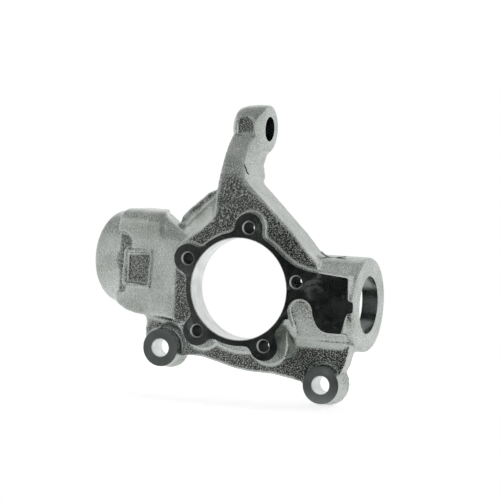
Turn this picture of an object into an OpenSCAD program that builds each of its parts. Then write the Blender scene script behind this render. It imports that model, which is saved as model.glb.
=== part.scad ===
/* [Hub seat] */
// Diameter of the bore that takes the hub bearing
hub_bore_d = 90; // [86:0.5:93]
// Depth of the hub bore behind the machined face
hub_depth = 24.6; // [23:0.2:27]
// Width of the narrow machined rim around the bore
hub_rim = 5.3; // [4.5:0.1:7]
// Distance from the bore wall to the bolt circle
bolt_offset = 10; // [9:0.5:12]
// Tapping diameter of the bearing bolt holes
bolt_d = 10.2; // [8.5:0.1:11]
// Radius of the machined pad round each bolt hole
bolt_pad_r = 13.2; // [12:0.2:14.5]
// Height of the machined face above the cast web
pad_height = 7; // [5:0.5:8]

/* [Ball joint boss] */
// Diameter of the ball joint bore
ball_bore_d = 50.4; // [46:0.2:54]
// Outer diameter of the boss
ball_od = 84; // [80:1:88]
// Length of the fully round wall of the bore
ball_len = 15.6; // [14:0.2:18]
// Distance from the hub axis to the end face of the boss
ball_face_x = 108.2; // [106:0.2:112]

/* [Strut clamp boss] */
// Diameter of the strut bore
strut_bore_d = 56; // [50:0.5:58]
// Outer diameter of the boss
strut_od = 86; // [83:1:89]
// Length of the strut bore
strut_len = 40; // [37:0.5:43]
// Angle by which the strut leans inboard
strut_lean = 14.5; // [13:0.5:16]

/* [Tie rod arm] */
// Outer diameter of the rounded arm head
head_od = 42.5; // [40:0.5:46]
// Length of the arm head along the tapered hole
head_len = 29.2; // [27:0.2:31]
// Mouth diameter of the tapered hole
taper_d = 22; // [20:0.2:24]
// Diameter lost per length of the tapered hole
taper_ratio = 0.125; // [0.1:0.005:0.16]
// Height of the hole axis above the hub axis
head_z = 141.5; // [137:0.5:146]

/* [Caliper ears] */
// Diameter of the caliper bolt holes
ear_hole_d = 16.2; // [13:0.1:17]
// Diameter of the machined ear faces
ear_od = 33.5; // [31:0.5:36]
// Thickness of the ears
ear_depth = 22; // [19:0.5:25]
// Setback of the ear faces behind the hub face
ear_setback = 13; // [11:0.5:15]

/* [Hidden] */
$fn = 96;
cut = 1;
span = 200;
reach = 60;
bolt_n = 5;
bolt_pitch_r = hub_bore_d / 2 + bolt_offset;
bolt_start = 10.2;
bolt_chamfer = 1.2;
pad_fillet_r = 7;
pad_fillet = fillet_at(hub_bore_d / 2 + hub_rim, bolt_pad_r, bolt_pitch_r, pad_fillet_r);
hub_r = hub_bore_d / 2;
ball_r = ball_od / 2;
ball_y = ball_r - 0.2;
ball_z = -9;
pad_top_z = 17.5;
pad_low_z = -32.5;
ball_left = [[48.5, -60], [47, -46], [42.5, -34], [41.5, -25], [40, -20]];
body_back = 46;
arm_back = 43;
arm_lean = [[56, 0], [100, 0.2], [116, 0.5], [132, 1]];
well_r = 57;
web_front = pad_height;
low_front = ear_setback + 5;
rib_front = body_back - 8;
head_r = head_od / 2;
head_x = 8.6;
head_y = 37.5;
strut_r = strut_od / 2;
strut_pos = [-146.9, 75, 16.8];
strut_face = 45;
neck_top_z = 63.5;
ridge_x = -64;
slot_floor = 26.5;
box_lip = 15.3;
box_floor = 19.2;
ear_back = ear_setback + ear_depth;
ears = [[-78.5, -59], [76.3, -80]];

// Centre of a fillet that touches two round outlines, the second one centred at distance d
function fillet_at(r1, r2, d, f) =
    let (a = acos((pow(r1 + f, 2) + d * d - pow(r2 + f, 2)) / (2 * (r1 + f) * d))) (r1 + f) * [cos(a), sin(a)];

// Depth of the arm's front face at height z
function arm_front(z) = web_front + lookup(z, arm_lean) * (head_y - head_r + 0.6 - web_front);

// Point where a line from p touches the circle at c, on the side given by the sign
function touch(p, c, r, side) =
    let (v = p - c, a = atan2(v[1], v[0]) + side * acos(r / norm(v))) c + r * [cos(a), sin(a)];

// Points of an arc, counted from a0 to a1 in degrees
function arc(x, z, r, a0, a1, n = 8) =
    [for (i = [0:n]) let (a = a0 + (a1 - a0) * i / n) [x + r * cos(a), z + r * sin(a)]];

// Solid between two depths, from a drawing seen along the hub axis
module deep(y0, y1) {
    translate([0, y1, 0]) rotate([90, 0, 0]) linear_extrude(y1 - y0) children();
}

// Solid between two widths, from a drawing of depth against height
module wide(x0, x1) {
    translate([x0, 0, 0]) rotate([90, 0, 90]) linear_extrude(x1 - x0) children();
}

// Frame of the strut clamp, width running from its open end towards the hub
module strut_frame() {
    translate(strut_pos) rotate([0, 0, -strut_lean]) children();
}

module hub_places() {
    for (i = [0:bolt_n - 1]) rotate([0, -bolt_start - i * 360 / bolt_n, 0])
        translate([bolt_pitch_r, 0, 0]) children();
}

// Solid that widens from a front outline, half a millimetre under the arm, to a back outline
module drafted(front, back, depth) {
    n = len(front);
    polyhedron(concat([for (p = front) [p[0], arm_front(p[1]) + 0.5, p[1]]], [for (p = back) [p[0], depth, p[1]]]),
        concat([for (i = [1:n - 2]) [0, i + 1, i]], [for (i = [1:n - 2]) [n, n + i, n + i + 1]],
            [for (i = [0:n - 1]) [i, (i + 1) % n, n + i]],
            [for (i = [0:n - 1]) [(i + 1) % n, n + (i + 1) % n, n + i]]));
}

// Machined face with its bolt pads, a fillet on both sides of each pad, and the ball joint pad
module pad() {
    rotate([-90, 0, 0]) cylinder(h = hub_depth, r = hub_r + hub_rim);
    hub_places() rotate([-90, 0, 0]) cylinder(h = hub_depth, r = bolt_pad_r);
    for (i = [0:bolt_n - 1]) rotate([0, -bolt_start - i * 360 / bolt_n, 0]) difference() {
        deep(0, hub_depth) polygon([pad_fillet, [0, 0], [pad_fillet[0], -pad_fillet[1]], [bolt_pitch_r, 0]]);
        for (side = [-1, 1]) translate([pad_fillet[0], -cut, side * pad_fillet[1]]) rotate([-90, 0, 0])
            cylinder(h = hub_depth + 2 * cut, r = pad_fillet_r);
    }
    deep(0, hub_depth) polygon([[20, 20], [34, 37], [43, 29.5], [52, 24], [60, 21], [69, 19.3],
        [80, pad_top_z + 1], [100, pad_top_z - 1], [101, -10], [60, -12], [30, -20]]);
}

// Cast pocket between the lower bolt pad and the ball joint pad
module pocket_outline() {
    polygon(concat(arc(58.6, -16, 11.6, 180, 0, 16),
        [[72, -22]], arc(86, -18.5, 14, 195, 270, 6), [[100, -32.5], [100, -60], [58, -60], [53, -44]]));
}

// Cast plate behind the machined face with the foot of the arm
module web_outline() {
    polygon([[ridge_x, -34], [ridge_x, 33], [-58, 39], [-42, 49], [-31, 60], [-28, 70], [-28.5, 84],
        [-24.6, 110], [-21.8, 126], [-19.2, 134], [-13, head_z], [6, head_z], [5, 122], [1.8, 118],
        [-0.3, 109], [0.2, 100], [0.8, 95.5], [2.2, 92], [19, 77], [36, 61.5], [47, 51], [59, 37.5],
        [70, 27], [73, 18], [50, -5], [30, -34]]);
}

// Lower web that carries the two ears
module low_outline() {
    polygon([[-97, -24], [-95.2, -59], [-78.5, -72], [-62, -66.5], [-53, -64], [-40, -64.6], [-28, -67.5],
        [-8, -72.5], [3, -74], [28, -74.7], [56, -79], [62, -86], [76, -90], [91, -82], [91, -72],
        [96, -62], [101, -44], [74, -25], [30, -30]]);
}

// Lower web with a slope under the hub rim and a hollow beside each ear
module lower_web() {
    difference() {
        deep(low_front, ear_back) low_outline();
        for (p = [[-73.5, -55], [75.3, -75]]) translate([p[0], 0, p[1]]) rotate([-90, 0, 0])
            cylinder(h = low_front + 5, r = ear_od / 2);
    }
    wide(50, 96) polygon([[low_front - 3.2, -41], [low_front + 0.5, -50], [24, -50], [24, -41]]);
    translate([0, pad_height + 2, 0]) rotate([-90, 0, 0])
        cylinder(h = low_front - pad_height, r1 = hub_r + hub_rim, r2 = hub_r + hub_rim + 9);
    hub_places() translate([0, pad_height + 2, 0]) rotate([-90, 0, 0])
        cylinder(h = low_front - pad_height, r1 = bolt_pad_r, r2 = bolt_pad_r + 5);
}

// Side drawing of the arm, leaning back towards its head
module arm_side() {
    polygon(concat([[web_front, -62]], [for (p = arm_lean) [arm_front(p[0]), p[0]]],
        [[head_y - head_r + 2, head_z], [head_y + head_r - 2, head_z], [head_y + head_r - 6, 124],
        [body_back + 1, 84], [arm_back, 60], [arm_back, -62]]));
}

module arm() {
    intersection() {
        deep(0, 70) web_outline();
        wide(-100, 110) arm_side();
    }
    translate([head_x, head_y, head_z]) rotate([0, -90, 0]) {
        cylinder(h = head_len - 18.6, r = head_r);
        for (c = [[18.6, 8.6, 0, 1.2], [8.6, 2.6, 1.2, 3], [2.6, 0, 3, 6]]) translate([0, 0, head_len - c[0]])
            cylinder(h = c[0] - c[1], r1 = head_r - c[2], r2 = head_r - c[3]);
    }
    deep(46, 53) polygon([[-6, 109], [-0.6, 107], [0, 101], [1, 98.5], [-0.3, 95], [-6, 92]]);
    deep(22, 36) polygon([[-4, 108], [-0.3, 109], [7.6, 126], [7.6, 140], [-4, 140]]);
}

// Bevel between the arm's front and the end face of its head, wider towards the arm
module lug_corner() {
    for (c = [[96, 106, -1.9, 10, 27], [106, 122, -3.2, 12.6, 29], [122, 128, -3.3, 15.2, 28],
        [128, 134.5, -1.2, 16.3, 26], [134.5, 170, 2, 16.3, 23.5]])
        translate([0, 0, c[0]]) linear_extrude(c[1] - c[0])
            polygon([[c[2], -cut], [c[2], c[3]], [8.7, c[4]], [12, c[4]], [12, -cut]]);
}

// Side drawing of the flat body in front of the ball joint bore
module ball_side() {
    top = [0, pad_top_z - 1];
    low = [0, pad_low_z];
    mid = [ball_y, ball_z];
    polygon([top, touch(top, mid, ball_r - 0.3, -1), mid, touch(low, mid, ball_r - 0.3, 1), low]);
}

// Boss around the ball joint bore, cut back to a half pipe towards the hub
module ball_body() {
    intersection() {
        translate([40, ball_y, ball_z]) rotate([0, 90, 0]) cylinder(h = ball_face_x - 42, r = ball_r);
        union() {
            deep(0, body_back) polygon(concat([[40, 50], [110, 50], [110, -60]], ball_left));
            translate([ball_face_x - ball_len, 0, -70]) cube([ball_len, 100, 120]);
        }
    }
    translate([ball_face_x - 2, ball_y, ball_z]) rotate([0, 90, 0]) cylinder(h = 2, r1 = ball_r, r2 = ball_r - 1.5);
    intersection() {
        wide(40, 102) ball_side();
        deep(0, body_back) polygon(concat([[40, 50], [102, 50], [102, -12], [97.5, -33], [97.5, -60]], ball_left));
    }
}

// Plan of the neck that slopes back from the hub to the strut boss
module neck_plan() {
    polygon([[ridge_x, web_front], [-130.1, 24.1], [-118.5, 69], [-96, 63], [-84, 52], [-60, body_back],
        [-50, body_back], [-50, web_front]]);
}

// Plan of the shoulder over the strut boss, which ends short of the hub
module shoulder_plan() {
    polygon([[-77.5, 11], [-130.1, 24.1], [-118.5, 69], [-96, 62], [-81.5, 24]]);
}

module neck_outline() {
    polygon([[-140, 30], [-140, 54], [-92, 59.5], [-86, 57.2], [-76, 51], [-68, 48], [-50, 40], [-50, -33],
        [-98, -31], [-108, -30.2], [-118, -28], [-127.5, -23.3], [-133.5, -18], [-137, -10]]);
}

// Front face of the neck seen along the strut, rounded off at its top
module neck_side() {
    polygon(concat([[40, -80], [40, neck_top_z - strut_pos[2]]],
        arc(-strut_face + 16, neck_top_z - strut_pos[2] - 16, 16, 90, 180, 6), [[-strut_face, -80]]));
}

// Stiffening rib and hollow flank between the strut boss and the arm
module rib() {
    deep(rib_front, body_back) polygon([[-90, 40], [-80, 50], [-75.3, 52.5], [-74.3, 59.3], [-48, 82], [-41, 85],
        [-20, 86], [-20, 30]]);
    drafted([[-20, 20], [-20, 84], [-28.5, 84], [-28, 70], [-31, 60], [-42, 49], [-58, 39], [-64, 33], [-64, 20]],
        [[-20, 20], [-20, 84], [-40, 79], [-44, 77], [-50, 72.5], [-59, 63.5], [-69, 53], [-84, 49], [-84, 20]],
        rib_front + 2);
}

module strut_boss() {
    difference() {
        union() {
            strut_frame() {
                rotate([0, 90, 0]) cylinder(h = 2, r1 = strut_r - 2, r2 = strut_r);
                translate([2, 0, 0]) rotate([0, 90, 0]) cylinder(h = strut_len - 2, r = strut_r);
            }
            intersection() {
                union() {
                    intersection() {
                        translate([0, 0, -80]) linear_extrude(160) neck_plan();
                        deep(0, 80) neck_outline();
                    }
                    translate([0, 0, 40]) linear_extrude(neck_top_z - 40) shoulder_plan();
                }
                strut_frame() wide(0, 120) neck_side();
            }
        }
        deep(0, slot_floor) offset(r = 4, $fn = 24)
            polygon([[-140, 38.5], [-121, 38], [-117.8, 34.5], [-117.8, 20], [-121, -3], [-122.6, -8], [-140, -8]]);
        wide(-79, -48) polygon([[-cut, 32], [5, 36.7], [26, 54], [26, 70], [-cut, 70]]);
    }
    intersection() {
        deep(0, slot_floor + 8) polygon([[-120, 27.5], [-122, -4.5], [-92, -6], [-90.5, 28.5]]);
        translate([0, 0, -20]) linear_extrude(60)
            polygon([[-124, box_lip + 2.6], [-88, box_lip - 2.2], [-88, 34], [-124, 34]]);
    }
}

// Everything outside the hub rim and its bolt pads
module ring_clear() {
    difference() {
        translate([0, -cut, -span / 2]) cube([span / 2, reach, span / 2]);
        deep(-2 * cut, reach + 2 * cut) circle(hub_r + hub_rim);
        hub_places() translate([0, -2 * cut, 0]) rotate([-90, 0, 0]) cylinder(h = reach + 4 * cut, r = bolt_pad_r);
    }
}

module knuckle() {
    color("#9aa09c") difference() {
        union() {
            pad();
            arm();
            lower_web();
            ball_body();
            rib();
            strut_boss();
            for (e = ears) translate([e[0], ear_setback, e[1]]) rotate([-90, 0, 0]) {
                cylinder(h = ear_depth / 2, r = ear_od / 2);
                translate([0, 0, ear_depth / 2]) cylinder(h = ear_depth / 2, r1 = ear_od / 2, r2 = ear_od / 2 + 3);
            }
        }
        translate([0, -cut, 0]) rotate([-90, 0, 0]) cylinder(h = reach, r = hub_r);
        translate([0, hub_depth, 0]) rotate([-90, 0, 0]) cylinder(h = reach, r = well_r);
        hub_places() translate([0, -cut, 0]) rotate([-90, 0, 0]) cylinder(h = reach, d = bolt_d);
        hub_places() rotate([-90, 0, 0]) cylinder(h = bolt_chamfer, d1 = bolt_d + 2 * bolt_chamfer, d2 = bolt_d);
        translate([70, ball_y, ball_z]) rotate([0, 90, 0]) cylinder(h = reach, d = ball_bore_d);
        strut_frame() translate([-cut, 0, 0]) rotate([0, 90, 0]) cylinder(h = strut_len + cut, d = strut_bore_d);
        translate([head_x, head_y, head_z]) rotate([0, -90, 0])
            cylinder(h = head_len, d1 = taper_d, d2 = taper_d - head_len * taper_ratio);
        for (e = ears) translate([e[0], ear_setback - cut, e[1]]) rotate([-90, 0, 0])
            cylinder(h = reach, d = ear_hole_d);
        lug_corner();
        deep(0, head_y - head_r + 4) {
            translate([-7, 143.5]) circle(9);
            translate([-16, 135]) square([18, 8.5]);
        }
        deep(0, box_floor) polygon([[-116.2, 24.3], [-116.8, -2.2], [-94.2, -3.6], [-92.3, 25.5]]);
        intersection() {
            deep(-cut, 40) pocket_outline();
            wide(40, 104) polygon([[-cut, 0], [2, 0], [3, -8], [7, -22], [15, -46], [17, -60], [-cut, -60]]);
        }
        intersection() {
            deep(-cut, low_front + 3)
                polygon([[38, -25], [42.2, -27], [43.2, -34], [47.6, -46], [48, -51], [44, -57], [38, -59]]);
            ring_clear();
        }
        intersection() {
            deep(-cut, 40) polygon([[38, -23], [60, -23], [60, -60], [38, -60]]);
            wide(38, 60) polygon([[-cut, -20], [2, -24], [9, -35], [15, -46], [17, -60], [-cut, -60]]);
            ring_clear();
        }
        translate([-span, -2 * reach, -span]) cube([2 * span, 2 * reach, 2 * span]);
    }
}

knuckle();
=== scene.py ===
"""Steering knuckle: one iron casting with milled faces and bored holes."""
import math
import bpy
import bmesh
from mathutils import Matrix, Vector


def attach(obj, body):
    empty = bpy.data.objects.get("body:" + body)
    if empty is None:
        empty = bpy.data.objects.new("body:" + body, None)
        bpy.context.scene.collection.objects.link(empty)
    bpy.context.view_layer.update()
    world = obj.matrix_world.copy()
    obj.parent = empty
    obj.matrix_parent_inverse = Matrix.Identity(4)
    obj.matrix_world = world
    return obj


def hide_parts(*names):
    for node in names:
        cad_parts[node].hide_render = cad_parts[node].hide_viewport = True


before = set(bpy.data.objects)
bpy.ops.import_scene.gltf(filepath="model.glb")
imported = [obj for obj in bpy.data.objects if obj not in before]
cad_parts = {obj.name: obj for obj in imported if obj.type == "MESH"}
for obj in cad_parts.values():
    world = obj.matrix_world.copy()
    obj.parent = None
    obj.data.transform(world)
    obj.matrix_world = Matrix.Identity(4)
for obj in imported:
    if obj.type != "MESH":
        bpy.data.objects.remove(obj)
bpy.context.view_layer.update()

MM = 0.001

# Sizes of the casting, in millimetres and degrees
HUB_R = 45.0
HUB_DEPTH = 24.6
WELL_R = 57.0
BOLT_R = 5.1
BOLT_CIRCLE_R = 55.0
BOLT_START = 10.2
BOLT_BACKS = [46, 43, 46, 35, 35]
BALL_R = 25.2
BALL_FACE_X = 108.2
BALL_LEN = 15.6
BALL_BACK = 46.0
BALL_Y, BALL_Z = 41.8, -9.0
STRUT_R = 28.0
STRUT_LEN = 40.0
STRUT_AT = Vector((-146.9, 75.0, 16.8))
STRUT_LEAN = math.radians(14.5)
STRUT_AXIS = Vector((math.cos(STRUT_LEAN), -math.sin(STRUT_LEAN), 0))
HEAD_X, HEAD_Y, HEAD_Z = 8.6, 37.5, 141.5
HEAD_LEN = 29.2
TAPER_R, TAPER_END_R = 11.0, 9.175
EARS = [(-78.5, -59.0), (76.3, -80.0)]
EAR_HOLE_R = 8.1
EAR_FACE_R = 16.75
EAR_FRONT, EAR_BACK = 13.0, 35.0
BOLT_TURNS = [math.radians(BOLT_START + 72 * i) for i in range(5)]
BOLTS = [(BOLT_CIRCLE_R * math.cos(turn), BOLT_CIRCLE_R * math.sin(turn)) for turn in BOLT_TURNS]

# Stock on the milled faces, what the fills add to the bores and to the mouths of the bolt holes
STOCK = 4.0
FILL_MARGIN = 0.3
MOUTH_MARGIN = 1.6

# Depths of the 45 degree chamfers, and the radius of the tool that clears the front of an ear
HUB_EDGE, BOLT_EDGE, EAR_EDGE, BALL_EDGE = 0.7, 1.2, 0.5, 1.0
SPOT_FACER_R = EAR_FACE_R + 5

# The cell size of the cast skin, and the share of its faces that stay
SKIN_CELL = 1.0
KEPT_SHARE = 0.66

# Low and high corners of small raised and sunk shapes, whose edges stay crisp
CRISP = [((42, -5, -46), (100, 5, -2)),       # pad of the ball joint
         ((96, -5, -16), (109, 4, 0)),        # tab at its end
         ((-20, 10, 135), (3, 24, 153)),      # recess in the head
         ((50, 12, -84), (100, 34, -52)),     # right ear
         ((-100, 12, -74), (-56, 34, -44))]   # left ear
BOX = [((-134, 10, -14), (-88, 32, 45))]      # square box on the strut boss

# Corners of the places that run out softly
SOFT = [((-92, 6, 36), (-60, 40, 60)),        # shoulder of the neck
        ((-98, 12, -38), (-62, 34, -27)),     # hollow above the left ear
        ((-6, 8, 96), (9, 36, 134)),          # right side of the arm
        ((97, 4, 6), (103, 24, 26)),          # upper front of the ball joint boss
        ((37, 12, -54), (48, 26, -32))]       # valley by the lower bolt pad
SHOULDER_CORNER = [((-90, 2, 40), (-68, 22, 62))]
ARM_FRONT = [((-46, 4, 88), (8, 28, 124))]
LOWER_WEB = [((-44, 12, -80), (46, 34, -52))]

# The finishes, in the order of the body's material slots
SAND_CAST, MILLED, HUB_BORE, BALL_BORE, STRUT_BORE, TAPPED, SPOT_FACED = range(7)

# Holes along y as x, z and the radius that their walls and chamfers reach
TAPPED_HOLES = [(x, z, BOLT_R) for x, z in BOLTS]
HOLES = ([(x, z, BOLT_R + 1.3) for x, z in BOLTS] + [(x, z, EAR_HOLE_R) for x, z in EARS] +
         [(0, 0, HUB_R)])

# How squarely a milled face looks forwards, and how little a bore's wall looks along its axis
FORWARDS = -0.999
UPRIGHT_TILT, BORE_TILT, TAPER_TILT, CHAMFER_TILT = 0.01, 0.02, 0.12, 0.9

# How closely a machined face lies on its plane or its bore, in millimetres
CAD_GAP, PLANE_GAP, HOLE_GAP, BORE_GAP = 0.02, 0.03, 0.05, 0.06


def only(piece):
    """Leaves one object selected and active."""
    bpy.ops.object.select_all(action="DESELECT")
    piece.select_set(True)
    bpy.context.view_layer.objects.active = piece
    return piece


def settle(piece):
    """Moves the object's place, turn and scale into its mesh."""
    only(piece)
    bpy.ops.object.transform_apply(location=True, rotation=True, scale=True)
    return piece


def round_bar(name, start, end, r1, r2=None, sides=96):
    """A cylinder, or a cone with a second radius, between two points given in millimetres."""
    start, end = Vector(start) * MM, Vector(end) * MM
    along = end - start
    r2 = r1 if r2 is None else r2
    bpy.ops.object.select_all(action="DESELECT")
    bpy.ops.mesh.primitive_cone_add(vertices=sides, radius1=r1 * MM, radius2=r2 * MM, depth=along.length,
                                    location=(start + end) / 2,
                                    rotation=along.to_track_quat("Z", "Y").to_euler())
    piece = bpy.context.active_object
    piece.name = name
    return settle(piece)


def block(name, low, high):
    """A box between two corners given in millimetres."""
    low, high = Vector(low) * MM, Vector(high) * MM
    bpy.ops.object.select_all(action="DESELECT")
    bpy.ops.mesh.primitive_cube_add(size=1, location=(low + high) / 2, scale=high - low)
    piece = bpy.context.active_object
    piece.name = name
    return settle(piece)


def plate(name, start, end, front, back, width):
    """A thin plate along a line of the front view, from one depth to another, in millimetres."""
    (x0, z0), (x1, z1) = start, end
    middle = Vector(((x0 + x1) / 2, (front + back) / 2, (z0 + z1) / 2)) * MM
    # A little longer than its line, so that plates along a bent line overlap
    size = Vector((math.hypot(x1 - x0, z1 - z0) + width / 2, back - front, width)) * MM
    bpy.ops.object.select_all(action="DESELECT")
    bpy.ops.mesh.primitive_cube_add(size=1, location=middle, rotation=(0, -math.atan2(z1 - z0, x1 - x0), 0),
                                    scale=size)
    piece = bpy.context.active_object
    piece.name = name
    return settle(piece)


def combine(body, tools, how):
    """Adds the tools to the body, or cuts them out of it, and removes them."""
    for tool in tools:
        only(body)
        cut = body.modifiers.new("cut", "BOOLEAN")
        cut.operation = how
        cut.solver = "MANIFOLD"
        cut.object = tool
        bpy.ops.object.modifier_apply(modifier=cut.name)
        bpy.data.objects.remove(tool)
    return body


def strut_point(along):
    """A point on the strut bore's axis, at a distance from its open end."""
    return STRUT_AT + STRUT_AXIS * along


def rough_casting():
    """The casting before machining: the merged CAD solid with stock on its milled faces."""
    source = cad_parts["knuckle"]
    body = source.copy()
    body.data = source.data.copy()
    body.name = "casting"
    body.parent = None
    for key in list(body.keys()):
        del body[key]
    bpy.context.scene.collection.objects.link(body)
    only(body)
    bpy.ops.object.mode_set(mode="EDIT")
    bpy.ops.mesh.select_all(action="SELECT")
    bpy.ops.mesh.remove_doubles(threshold=0.002 * MM)
    bpy.ops.mesh.select_all(action="DESELECT")
    mesh = bmesh.from_edit_mesh(body.data)
    for face in mesh.faces:
        middle = face.calc_center_median() / MM
        on_hub = abs(middle.y) < CAD_GAP
        on_ear = abs(middle.y - EAR_FRONT) < CAD_GAP and any(
            (middle.x - x) ** 2 + (middle.z - z) ** 2 < (EAR_FACE_R + 1) ** 2 for x, z in EARS)
        face.select = face.normal.y < FORWARDS and (on_hub or on_ear)
    mesh.select_flush(True)
    bmesh.update_edit_mesh(body.data)
    bpy.ops.mesh.extrude_region_move(TRANSFORM_OT_translate={"value": (0, -STOCK * MM, 0)})
    bpy.ops.object.mode_set(mode="OBJECT")
    return body


def bore_fills():
    """Bars that fill the bores, so that the skin is cast whole and the holes are cut afterwards."""
    ball = round_bar("ball", (72, BALL_Y, BALL_Z), (BALL_FACE_X, BALL_Y, BALL_Z), BALL_R + FILL_MARGIN)
    # Behind its round part the ball bore is a half pipe, which stays open
    half_pipe = block("half_pipe", (60, BALL_BACK, -60), (BALL_FACE_X - BALL_LEN, 90, 40))
    bars = [round_bar("hub", (0, -STOCK, 0), (0, HUB_DEPTH, 0), HUB_R + FILL_MARGIN),
            combine(ball, [half_pipe], "DIFFERENCE"),
            round_bar("strut", strut_point(0), strut_point(STRUT_LEN), STRUT_R + FILL_MARGIN),
            round_bar("taper", (HEAD_X - HEAD_LEN, HEAD_Y, HEAD_Z), (HEAD_X, HEAD_Y, HEAD_Z),
                      TAPER_R + FILL_MARGIN),
            block("tab", (95, -STOCK, -13.1), (107.6, 0.5, -4.9))]
    for (x, z), back in zip(BOLTS, BOLT_BACKS):
        mouth = round_bar("bolt_front", (x, -STOCK, z), (x, 3, z), BOLT_R + MOUTH_MARGIN, sides=48)
        shank = round_bar("bolt", (x, 2, z), (x, back, z), BOLT_R + FILL_MARGIN, sides=48)
        well = round_bar("well", (0, HUB_DEPTH, 0), (0, 60, 0), WELL_R)
        bars += [mouth, combine(shank, [well], "DIFFERENCE")]
    for x, z in EARS:
        bars.append(round_bar("ear", (x, EAR_FRONT - STOCK, z), (x, EAR_BACK, z), EAR_HOLE_R + FILL_MARGIN))
    return bars


def shoulder():
    """The fillet that carries the neck's front over to the rib."""
    return plate("shoulder", (-81, 54.5), (-64, 42.5), 15.5, 36, 7)


def near(point, boxes, fade):
    """1 inside any of the boxes, fading to 0 over the fade distance outside them, in millimetres."""
    out = min(max(max(low - p, p - high, 0) for p, low, high in zip(point, *corners)) for corners in boxes)
    return max(0.0, 1 - out / fade)


def smooth_pass(body, name, turns, share):
    """Smooths the body over a number of turns, at each point by its share in steps of a tenth."""
    group = body.vertex_groups.new(name=name)
    levels = {}
    for vertex in body.data.vertices:
        level = round(share(vertex.co / MM, vertex.normal), 1)
        levels.setdefault(level, []).append(vertex.index)
    for level, indices in levels.items():
        group.add(indices, level, "REPLACE")
    soften = body.modifiers.new(name, "SMOOTH")
    soften.factor = 0.5
    soften.iterations = turns
    soften.vertex_group = name
    bpy.ops.object.modifier_apply(modifier=soften.name)


def smooth_cast(body):
    """One even skin over the rough casting, with the fillets and round edges that a sand mould gives."""
    only(body)
    skin = body.modifiers.new("skin", "REMESH")
    skin.mode = "VOXEL"
    skin.voxel_size = SKIN_CELL * MM
    bpy.ops.object.modifier_apply(modifier=skin.name)
    fine = CRISP + BOX
    # A point's share comes from its place p and its normal n
    smooth_pass(body, "small", 4, lambda p, n: 1.0)
    smooth_pass(body, "broad", 9, lambda p, n: 1 - near(p, fine, 4))
    smooth_pass(body, "box", 2, lambda p, n: near(p, BOX, 4))
    smooth_pass(body, "shoulder", 75, lambda p, n: near(p, SOFT, 5))
    smooth_pass(body, "corner", 160, lambda p, n: near(p, SHOULDER_CORNER, 6))
    smooth_pass(body, "arm_front", 90, lambda p, n: near(p, ARM_FRONT, 8) * max(-n.y, 0) ** 8)
    smooth_pass(body, "lower_web", 20, lambda p, n: near(p, LOWER_WEB, 6))
    body.vertex_groups.clear()
    thin = body.modifiers.new("thin", "DECIMATE")
    thin.ratio = KEPT_SHARE
    bpy.ops.object.modifier_apply(modifier=thin.name)


def chamfer(name, x, z, front, radius, depth, sides):
    """A cutter that breaks the front edge of a hole along y at 45 degrees."""
    return round_bar(name, (x, front - 1, z), (x, front + depth, z), radius + depth + 1, radius, sides)


def machining():
    """Cutters for the milled faces and the bored holes, in millimetres of the real part."""
    cutters = [block("hub_face", (-130, -30, -130), (140, 0, 175)),
               round_bar("hub", (0, -10, 0), (0, 80, 0), HUB_R, sides=160),
               chamfer("hub_edge", 0, 0, 0, HUB_R, HUB_EDGE, 160),
               round_bar("ball", (70, BALL_Y, BALL_Z), (130, BALL_Y, BALL_Z), BALL_R, sides=128),
               round_bar("ball_edge", (BALL_FACE_X - BALL_EDGE, BALL_Y, BALL_Z),
                         (BALL_FACE_X + BALL_EDGE, BALL_Y, BALL_Z), BALL_R, BALL_R + 2 * BALL_EDGE, 128),
               round_bar("strut", strut_point(-10), strut_point(STRUT_LEN + 1), STRUT_R, sides=128),
               round_bar("taper", (HEAD_X - HEAD_LEN - 1, HEAD_Y, HEAD_Z), (HEAD_X + 1, HEAD_Y, HEAD_Z),
                         TAPER_END_R, TAPER_R)]
    for x, z in BOLTS:
        cutters += [round_bar("bolt", (x, -5, z), (x, 60, z), BOLT_R, sides=48),
                    chamfer("bolt_edge", x, z, 0, BOLT_R, BOLT_EDGE, 48)]
    for x, z in EARS:
        cutters += [round_bar("ear_face", (x, -20, z), (x, EAR_FRONT, z), SPOT_FACER_R),
                    round_bar("ear", (x, -20, z), (x, 60, z), EAR_HOLE_R, sides=64),
                    chamfer("ear_edge", x, z, EAR_FRONT, EAR_HOLE_R, EAR_EDGE, 64)]
    return cutters


def crack():
    """Cutters for the thin crack beside the arm's front edge."""
    line = [(-4.0, 109.1), (-2.3, 105.6), (-1.6, 103.4), (-0.5, 101.0)]
    return [plate("crack", start, end, 4, 19, 0.8) for start, end in zip(line, line[1:])]


def flash():
    """Thin ragged fins that the mould left along the top of the ball joint boss."""
    line = [(64.9, 35.6), (67.1, 33.8), (69.7, 32.4), (72.9, 31.5), (77.0, 31.2), (82.2, 32.1),
            (87.8, 33.0)]
    # Every other fin starts a little deeper, and each is thinner than the one before it
    return [plate("flash", start, end, 31.0 + 0.3 * (i % 2), 32.3, 1.5 - 0.16 * i)
            for i, (start, end) in enumerate(zip(line, line[1:]))]


def tone(code):
    """An sRGB hex colour as the linear values that Blender's sockets take."""
    parts = [int(code[i:i + 2], 16) / 255 for i in (1, 3, 5)]
    return tuple(p / 12.92 if p <= 0.04045 else ((p + 0.055) / 1.055) ** 2.4 for p in parts) + (1.0,)


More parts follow.
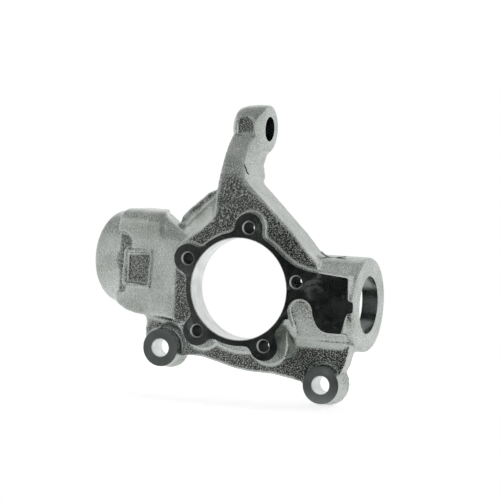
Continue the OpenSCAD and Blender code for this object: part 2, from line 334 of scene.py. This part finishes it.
def add(tree, kind, settings=None, stops=(), **links):
    """Adds a node with its properties, its colour stops and its inputs, as values or other nodes' outputs.

    An input goes by its name, with _ for each space, or by an _ and its number.
    """
    node = tree.nodes.new(kind)
    for key, value in (settings or {}).items():
        setattr(node, key, value)
    if stops:
        ramp = node.color_ramp.elements
        for stop, (position, code) in zip(list(ramp), (stops[0], stops[-1])):
            stop.position, stop.color = position, tone(code)
        for position, code in stops[1:-1]:
            ramp.new(position).color = tone(code)
    for key, value in links.items():
        socket = node.inputs[int(key[1:]) if key[1:].isdigit() else key.replace("_", " ")]
        if isinstance(value, bpy.types.NodeSocket):
            tree.links.new(value, socket)
        else:
            socket.default_value = value
    return node


def new_material(name):
    """A material with an empty Principled surface, its tree and the object's own coordinates in metres."""
    material = bpy.data.materials.new(name)
    material.use_nodes = True
    tree = material.node_tree
    surface = tree.nodes["Principled BSDF"]
    place = add(tree, "ShaderNodeTexCoord").outputs["Object"]
    return material, tree, surface, place


def sand_cast_iron():
    """Grey iron as it leaves a sand mould and the shot blast: grey metal grains, pits and soft stains."""
    material, tree, surface, place = new_material("sand_cast_iron")
    # Grains of moulding sand leave marks of 0.5 to 1 mm, drawn at 1.1 mm so that they show
    grain = add(tree, "ShaderNodeTexNoise", Vector=place, Scale=890.0, Detail=1.5, Roughness=0.6)
    # Lumps of the mould are 3 mm across, pits 2.4 mm apart and stains 30 mm wide
    lumps = add(tree, "ShaderNodeTexNoise", Vector=place, Scale=330.0, Detail=2.0, Roughness=0.5)
    pits = add(tree, "ShaderNodeTexVoronoi", {"feature": "SMOOTH_F1"}, Vector=place, Scale=420.0)
    stains = add(tree, "ShaderNodeTexNoise", Vector=place, Scale=34.0, Detail=4.0, Roughness=0.55)
    edge = add(tree, "ShaderNodeNewGeometry").outputs["Pointiness"]
    colour = add(tree, "ShaderNodeValToRGB", stops=[(0.36, "#a3a8a5"), (0.66, "#d2d6d3")],
                 Fac=grain.outputs["Fac"])
    stained = add(tree, "ShaderNodeValToRGB", stops=[(0.35, "#dfe0dc"), (0.62, "#ffffff")],
                  Fac=stains.outputs["Fac"])
    toned = add(tree, "ShaderNodeMix", {"data_type": "RGBA", "blend_type": "MULTIPLY"}, _0=1.0,
                _6=colour.outputs["Color"], _7=stained.outputs["Color"])
    # Convex edges are painted paler: partly wear from the shot, partly a painted highlight
    worn_and_highlit_edges = add(tree, "ShaderNodeMapRange", Value=edge, From_Min=0.52, From_Max=0.6, To_Min=0.0, To_Max=0.35)
    final = add(tree, "ShaderNodeMix", {"data_type": "RGBA"}, _0=worn_and_highlit_edges.outputs["Result"],
                _6=toned.outputs[2], _7=tone("#c4c8c5"))
    tree.links.new(final.outputs[2], surface.inputs["Base Color"])
    gloss = add(tree, "ShaderNodeMapRange", Value=grain.outputs["Fac"], From_Min=0.3, From_Max=0.7,
                To_Min=0.2, To_Max=0.3)
    tree.links.new(gloss.outputs["Result"], surface.inputs["Roughness"])
    surface.inputs["Metallic"].default_value = 1.0
    # Only the tops of the grain stand out, and mirror the card's pale borders as specks on dark fronts
    tops = add(tree, "ShaderNodeMapRange", Value=grain.outputs["Fac"], From_Min=0.55, From_Max=0.78,
               To_Min=0.0, To_Max=1.0)
    rough = add(tree, "ShaderNodeBump", Strength=1.0, Distance=0.00016, Height=tops.outputs["Result"])
    lumpy = add(tree, "ShaderNodeBump", Strength=1.0, Distance=0.00009, Height=lumps.outputs["Fac"],
                Normal=rough.outputs["Normal"])
    pitted = add(tree, "ShaderNodeBump", Strength=0.3, Distance=0.00008, Height=pits.outputs["Distance"],
                 Normal=lumpy.outputs["Normal"])
    tree.links.new(pitted.outputs["Normal"], surface.inputs["Normal"])
    return material


def milled_iron(name, rough, dark, light):
    """Iron faced with a milling cutter: flat, dark and nearly smooth, with cloudy smudges of oil."""
    material, tree, surface, place = new_material(name)
    # Clouds are 18 mm across, the grain of the iron is drawn at 0.7 mm and smears of oil are 22 mm long
    clouds = add(tree, "ShaderNodeTexNoise", Vector=place, Scale=55.0, Detail=4.0, Roughness=0.6)
    fine = add(tree, "ShaderNodeTexNoise", Vector=place, Scale=1500.0, Detail=2.0)
    smears = add(tree, "ShaderNodeTexNoise", Vector=place, Scale=46.0, Detail=5.0, Roughness=0.55,
                 Distortion=0.8)
    colour = add(tree, "ShaderNodeValToRGB", stops=[(0.38, dark), (0.64, light)], Fac=clouds.outputs["Fac"])
    tree.links.new(colour.outputs["Color"], surface.inputs["Base Color"])
    surface.inputs["Metallic"].default_value = 1.0
    gloss = add(tree, "ShaderNodeMapRange", Value=clouds.outputs["Fac"], From_Min=0.35, From_Max=0.65,
                To_Min=rough, To_Max=rough + 0.06)
    wiped = add(tree, "ShaderNodeMapRange", Value=smears.outputs["Fac"], From_Min=0.56, From_Max=0.7,
                To_Min=0.0, To_Max=0.15)
    hazy = add(tree, "ShaderNodeMath", {"operation": "ADD"}, _0=gloss.outputs["Result"],
               _1=wiped.outputs["Result"])
    tree.links.new(hazy.outputs["Value"], surface.inputs["Roughness"])
    # Feed marks of a face mill are 0.2 mm apart and are drawn at 1.8 mm so that they show
    marks = add(tree, "ShaderNodeTexWave", {"wave_type": "RINGS", "rings_direction": "Y"}, Vector=place,
                Scale=175.0, Distortion=0.6, Detail=2.0)
    scored = add(tree, "ShaderNodeBump", Strength=0.03, Distance=0.0001, Height=marks.outputs["Fac"])
    grained = add(tree, "ShaderNodeBump", Strength=0.08, Distance=0.00006, Height=fine.outputs["Fac"],
                  Normal=scored.outputs["Normal"])
    tree.links.new(grained.outputs["Normal"], surface.inputs["Normal"])
    return material


def bored_iron(name, axis, dark, light, rough=0.28):
    """Iron bored on a lathe or drilled: brighter than the milled face, with fine rings round its axis."""
    material, tree, surface, place = new_material(name)
    # Tool feed of 0.15 mm a turn, drawn at 0.6 mm so that it shows
    feed = 0.6 * MM
    along = add(tree, "ShaderNodeVectorMath", {"operation": "DOT_PRODUCT"}, _0=place, _1=tuple(axis))
    turns = add(tree, "ShaderNodeMath", {"operation": "MULTIPLY"}, _0=along.outputs["Value"],
                _1=2 * math.pi / feed)
    wave = add(tree, "ShaderNodeMath", {"operation": "SINE"}, _0=turns.outputs["Value"])
    rings = add(tree, "ShaderNodeBump", Strength=0.12, Distance=0.00005, Height=wave.outputs["Value"])
    tree.links.new(rings.outputs["Normal"], surface.inputs["Normal"])
    # Patches of oil are 11 mm across
    patches = add(tree, "ShaderNodeTexNoise", Vector=place, Scale=90.0, Detail=3.0)
    colour = add(tree, "ShaderNodeValToRGB", stops=[(0.35, dark), (0.65, light)],
                 Fac=patches.outputs["Fac"])
    tree.links.new(colour.outputs["Color"], surface.inputs["Base Color"])
    surface.inputs["Metallic"].default_value = 1.0
    surface.inputs["Roughness"].default_value = rough
    return material


def threaded_iron_painted_shade():
    """The tapped bolt holes: near-black threads, partly dark oil and partly painted shade of the deep
    holes, with painted highlights on the crests that catch the light.
    """
    material, tree, surface, place = new_material("threaded_iron_painted_shade")
    # Thread pitch of an M12 fine bolt
    pitch = 1.5 * MM
    depth = add(tree, "ShaderNodeSeparateXYZ", Vector=place)
    turns = add(tree, "ShaderNodeMath", {"operation": "MULTIPLY"}, _0=depth.outputs["Y"],
                _1=2 * math.pi / pitch)
    wave = add(tree, "ShaderNodeMath", {"operation": "SINE"}, _0=turns.outputs["Value"])
    thread = add(tree, "ShaderNodeBump", Strength=0.9, Distance=0.0009, Height=wave.outputs["Value"])
    tree.links.new(thread.outputs["Normal"], surface.inputs["Normal"])
    # Painted shade of the deep holes as well as oil: near-black in the roots, and a painted highlight on
    # the crests
    colour = add(tree, "ShaderNodeValToRGB", stops=[(0.1, "#050505"), (0.9, "#1d1f1e")],
                 Fac=wave.outputs["Value"])
    tree.links.new(colour.outputs["Color"], surface.inputs["Base Color"])
    surface.inputs["Metallic"].default_value = 0.4
    surface.inputs["Roughness"].default_value = 0.65
    return material


def in_hole(middle, normal, holes):
    """Whether a face within the reach of one of the holes looks towards the hole's axis."""
    return any(math.hypot(middle.x - x, middle.z - z) < r + HOLE_GAP and
               (middle.x - x) * normal.x + (middle.z - z) * normal.z < 0 for x, z, r in holes)


def finish_at(middle, normal):
    """The finish of a face, from its middle in millimetres and the way it looks."""
    if normal.y < FORWARDS and abs(middle.y) < PLANE_GAP:
        return MILLED
    if normal.y < FORWARDS and abs(middle.y - EAR_FRONT) < PLANE_GAP:
        return SPOT_FACED
    if abs(normal.y) < UPRIGHT_TILT and in_hole(middle, normal, TAPPED_HOLES):
        return TAPPED
    # Chamfers share the dull finish of the strut bore, and the taper that of the ball bore
    if abs(normal.y) < CHAMFER_TILT and in_hole(middle, normal, HOLES):
        return HUB_BORE if abs(normal.y) < UPRIGHT_TILT else STRUT_BORE
    from_ball = math.hypot(middle.y - BALL_Y, middle.z - BALL_Z)
    if abs(normal.x) < BORE_TILT and abs(from_ball - BALL_R) < BORE_GAP:
        return BALL_BORE
    if abs(normal.x) < TAPER_TILT and math.hypot(middle.y - HEAD_Y, middle.z - HEAD_Z) < TAPER_R:
        return BALL_BORE
    from_strut = middle - STRUT_AT - STRUT_AXIS * (middle - STRUT_AT).dot(STRUT_AXIS)
    if abs(normal.dot(STRUT_AXIS)) < BORE_TILT and abs(from_strut.length - STRUT_R) < BORE_GAP:
        return STRUT_BORE
    return SAND_CAST


def dress(body):
    """Gives each face the finish of the tool that made it: the mould, the mill or the boring bar."""
    finishes = {SAND_CAST: sand_cast_iron(),
                MILLED: milled_iron("milled_iron", 0.16, "#a2a9a7", "#b0b5b3"),
                HUB_BORE: bored_iron("bored_iron_hub", (0, 1, 0), "#c6cac8", "#dcdfdd"),
                BALL_BORE: bored_iron("bored_iron_ball", (1, 0, 0), "#7d8280", "#989d9b", 0.2),
                STRUT_BORE: bored_iron("bored_iron_strut", STRUT_AXIS, "#989c9a", "#acb0ae", 0.45),
                TAPPED: threaded_iron_painted_shade(),
                SPOT_FACED: milled_iron("spot_faced_iron", 0.36, "#808684", "#8c918f")}
    body.data.materials.clear()
    for slot in sorted(finishes):
        body.data.materials.append(finishes[slot])
    for face in body.data.polygons:
        face.material_index = finish_at(face.center / MM, face.normal)
    # Edges between two finishes are sharp
    only(body)
    bpy.ops.object.mode_set(mode="EDIT")
    mesh = bmesh.from_edit_mesh(body.data)
    for edge in mesh.edges:
        edge.smooth = len({face.material_index for face in edge.link_faces}) == 1
    bmesh.update_edit_mesh(body.data)
    bpy.ops.object.mode_set(mode="OBJECT")
    bpy.ops.object.shade_smooth_by_angle(angle=math.radians(32), keep_sharp_edges=True)


def white_floor(low):
    """A plain pale floor at the part's lowest point, which keeps its soft shadow."""
    bpy.ops.object.select_all(action="DESELECT")
    bpy.ops.mesh.primitive_circle_add(vertices=96, radius=0.3, fill_type="NGON", location=(0, 0.26, low))
    floor = settle(bpy.context.active_object)
    floor.name = "floor"
    material, tree, surface, _ = new_material("matt_white_paper")
    surface.inputs["Base Color"].default_value = tone("#dadada")
    surface.inputs["Roughness"].default_value = 0.9
    # The paper's own light is seen by the camera and in the metal, but lights nothing
    path = add(tree, "ShaderNodeLightPath")
    mirrored = add(tree, "ShaderNodeMath", {"operation": "ADD"}, _0=path.outputs["Is Glossy Ray"],
                   _1=path.outputs["Is Transmission Ray"])
    seen = add(tree, "ShaderNodeMath", {"operation": "ADD", "use_clamp": True},
               _0=path.outputs["Is Camera Ray"], _1=mirrored.outputs["Value"])
    fill = add(tree, "ShaderNodeMath", {"operation": "MULTIPLY"}, _0=seen.outputs["Value"], _1=0.58)
    surface.inputs["Emission Color"].default_value = (1, 1, 1, 1)
    tree.links.new(fill.outputs["Value"], surface.inputs["Emission Strength"])
    floor.data.materials.append(material)


def studio_card(name, finish, place, turn, size):
    """A matt card out of the camera's sight, which the metal mirrors."""
    bpy.ops.object.select_all(action="DESELECT")
    bpy.ops.mesh.primitive_plane_add(size=1, location=place, rotation=turn)
    card = bpy.context.active_object
    card.scale = size
    settle(card)
    card.name = name
    material, tree, surface, at = new_material(finish)
    surface.inputs["Roughness"].default_value = 1.0
    surface.inputs["Specular IOR Level"].default_value = 0.0
    card.data.materials.append(material)
    card.visible_camera = False
    return tree, surface, at


def front_card():
    """A pale board in front of the part with its middle sprayed black."""
    tree, surface, at = studio_card("front_card", "sprayed_board", (-0.52, -0.9, -0.05),
                                    (math.pi / 2, 0, 0), (2.3, 1.5, 1))
    # The black middle leans to the left as it goes up, and runs out slowly downwards
    board = add(tree, "ShaderNodeSeparateXYZ", Vector=at)
    leaning = add(tree, "ShaderNodeMath", {"operation": "MULTIPLY_ADD"}, _0=board.outputs["Z"], _1=0.35,
                  _2=board.outputs["X"])
    across = add(tree, "ShaderNodeMath", {"operation": "MULTIPLY_ADD"}, _0=leaning.outputs["Value"],
                 _1=4.2, _2=1.03)
    upward = add(tree, "ShaderNodeMath", {"operation": "MULTIPLY_ADD"}, _0=board.outputs["Z"], _1=3.3,
                 _2=0.5)
    downward = add(tree, "ShaderNodeMath", {"operation": "MULTIPLY"}, _0=upward.outputs["Value"], _1=-0.5)
    tall = add(tree, "ShaderNodeMath", {"operation": "MAXIMUM"}, _0=upward.outputs["Value"],
               _1=downward.outputs["Value"])
    spread = add(tree, "ShaderNodeCombineXYZ", X=across.outputs["Value"], Y=tall.outputs["Value"])
    reach = add(tree, "ShaderNodeVectorMath", {"operation": "LENGTH"}, _0=spread.outputs["Vector"])
    fade = add(tree, "ShaderNodeMapRange", Value=reach.outputs["Value"], From_Min=0.0, From_Max=4.0,
               To_Min=0.0, To_Max=1.0)
    sprayed = add(tree, "ShaderNodeValToRGB", Fac=fade.outputs["Result"],
                  stops=[(0.0, "#101010"), (0.15, "#121212"), (0.25, "#383838"), (0.35, "#787878"),
                         (0.5, "#c8c8c8"), (1.0, "#ececec")])
    tree.links.new(sprayed.outputs["Color"], surface.inputs["Base Color"])


def overhead_card():
    """A grey board over the part, which its upper faces mirror."""
    _, surface, _ = studio_card("overhead_card", "grey_board", (-0.15, -0.2, 0.8), (math.pi, 0, 0),
                                (1.7, 1.6, 1))
    surface.inputs["Base Color"].default_value = tone("#c8c8c8")


def white_world():
    """Even white light from all round."""
    world = bpy.data.worlds.new("white_tent")
    bpy.context.scene.world = world
    world.use_nodes = True
    world.node_tree.nodes["Background"].inputs["Color"].default_value = (1, 1, 1, 1)
    world.node_tree.nodes["Background"].inputs["Strength"].default_value = 1.0


def camera():
    """The camera that took the photograph, found from the round bores, the bolt circle and the edges."""
    right = Vector((0.92616, 0.37461, 0.04364))
    ahead = Vector((-0.37184, 0.92633, -0.06034))
    place = Vector((793.83, -1953.76, 162.45)) * MM
    lens = bpy.data.cameras.new("camera")
    lens.lens, lens.sensor_width = 172.9, 36.0
    lens.clip_start, lens.clip_end = 0.05, 100.0
    eye = bpy.data.objects.new("camera", lens)
    turn = Matrix((right, right.cross(ahead), -ahead)).transposed()
    eye.matrix_world = Matrix.Translation(place) @ turn.to_4x4()
    bpy.context.scene.collection.objects.link(eye)
    bpy.context.scene.camera = eye


casting = rough_casting()
combine(casting, bore_fills() + [shoulder()], "UNION")
smooth_cast(casting)
combine(casting, machining() + crack(), "DIFFERENCE")
combine(casting, flash(), "UNION")
dress(casting)
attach(casting, "root")
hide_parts("knuckle")

white_floor(min(vertex.co.z for vertex in casting.data.vertices))
white_world()
front_card()
overhead_card()
camera()
bpy.context.scene.view_settings.view_transform = "Standard"
